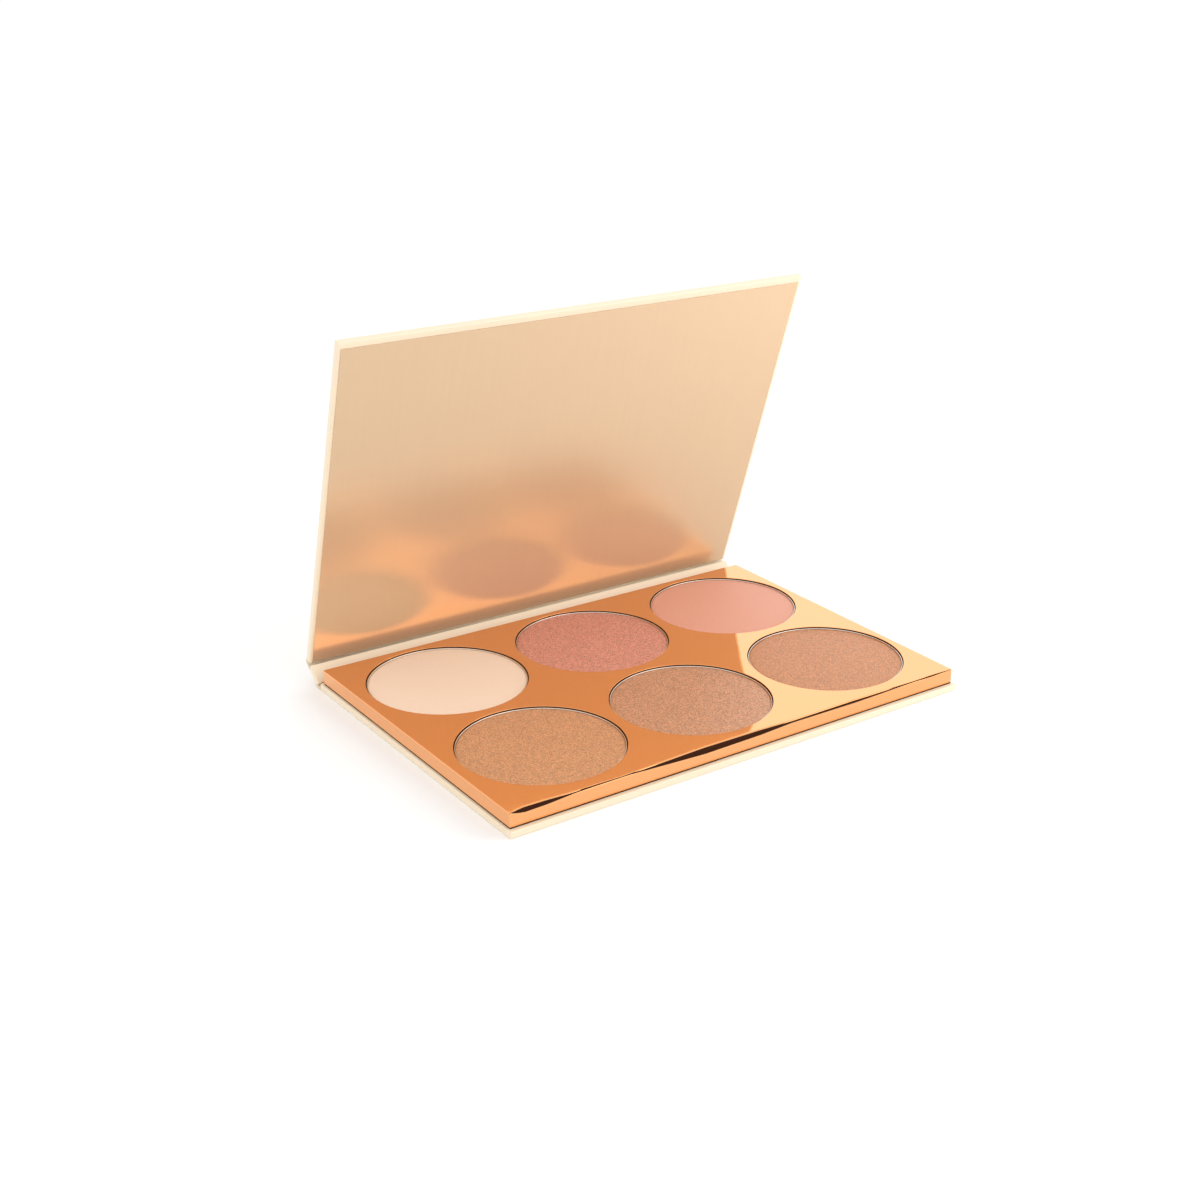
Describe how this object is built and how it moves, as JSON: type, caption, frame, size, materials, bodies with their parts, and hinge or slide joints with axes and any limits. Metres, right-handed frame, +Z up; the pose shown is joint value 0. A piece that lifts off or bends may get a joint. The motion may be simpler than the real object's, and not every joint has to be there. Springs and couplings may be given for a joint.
{
  "type": "eyeshadow palette",
  "caption": "Book-style card palette: foil-covered tray with round metal pans of pressed powder, on a wrapped base with a folding spine and a foil-lined lid.",
  "frame": {"origin": "on the flat underside of the base, below the middle of the tray", "axes": "+X to the right along the fold, +Y to the rear where the spine is, +Z up"},
  "size_m": [0.1454, 0.1082, 0.1025],
  "materials": {
    "greyboard": "bare greyboard, rough",
    "case_paper": "champagne pearl paper, satin",
    "adhesive": "dried adhesive film, matt",
    "card": "dark brown card, matt",
    "rose_foil": "mirror rose-gold foil paper",
    "liner_foil": "satin champagne-gold foil paper",
    "pan_metal": "bright pressed sheet",
    "magnet": "nickel plated",
    "powder_front_left": "pressed powder, golden bronze shimmer",
    "powder_front_mid": "pressed powder, taupe bronze shimmer",
    "powder_front_right": "pressed powder, peach bronze satin",
    "powder_rear_left": "pressed powder, cream matt",
    "powder_rear_mid": "pressed powder, rose shimmer",
    "powder_rear_right": "pressed powder, light pink matt"
  },
  "bodies": {
    "base": {"base_board": "greyboard", "base_wrap": "case_paper", "base_lining": "case_paper", "tray_glue": "adhesive", "tray_floor": "card", "tray_core": "card", "tray_card": "card", "tray_foil": "rose_foil", "tray_magnet_left": "magnet", "tray_magnet_right": "magnet", "pan_front_left": "pan_metal", "pan_front_mid": "pan_metal", "pan_front_right": "pan_metal", "pan_rear_left": "pan_metal", "pan_rear_mid": "pan_metal", "pan_rear_right": "pan_metal", "powder_front_left": "powder_front_left", "powder_front_mid": "powder_front_mid", "powder_front_right": "powder_front_right", "powder_rear_left": "powder_rear_left", "powder_rear_mid": "powder_rear_mid", "powder_rear_right": "powder_rear_right", "pan_glue_front_left": "adhesive", "pan_glue_front_mid": "adhesive", "pan_glue_front_right": "adhesive", "pan_glue_rear_left": "adhesive", "pan_glue_rear_mid": "adhesive", "pan_glue_rear_right": "adhesive", "lower_crease": "case_paper"},
    "spine": {"spine_board": "greyboard", "spine_wrap": "case_paper", "spine_lining": "case_paper", "upper_crease": "case_paper"},
    "lid": {"lid_board": "greyboard", "lid_wrap": "case_paper", "lid_lining": "case_paper", "lid_glue": "adhesive", "lid_liner": "liner_foil", "lid_magnet_left": "magnet", "lid_magnet_right": "magnet"}
  },
  "joints": [
    {"name": "spine_fold", "type": "hinge", "parent": "base", "child": "spine", "pos_m": [0, 0.05185, 0.0002], "axis": [-1, 0, 0], "range_deg": [-47.2, 42.8], "deforming": ["lower_crease"]},
    {"name": "lid_fold", "type": "hinge", "parent": "spine", "child": "lid", "pos_m": [0, 0.05779, 0.0057], "axis": [-1, 0, 0], "range_deg": [-24.3, 65.7], "deforming": ["upper_crease"]}
  ]
}
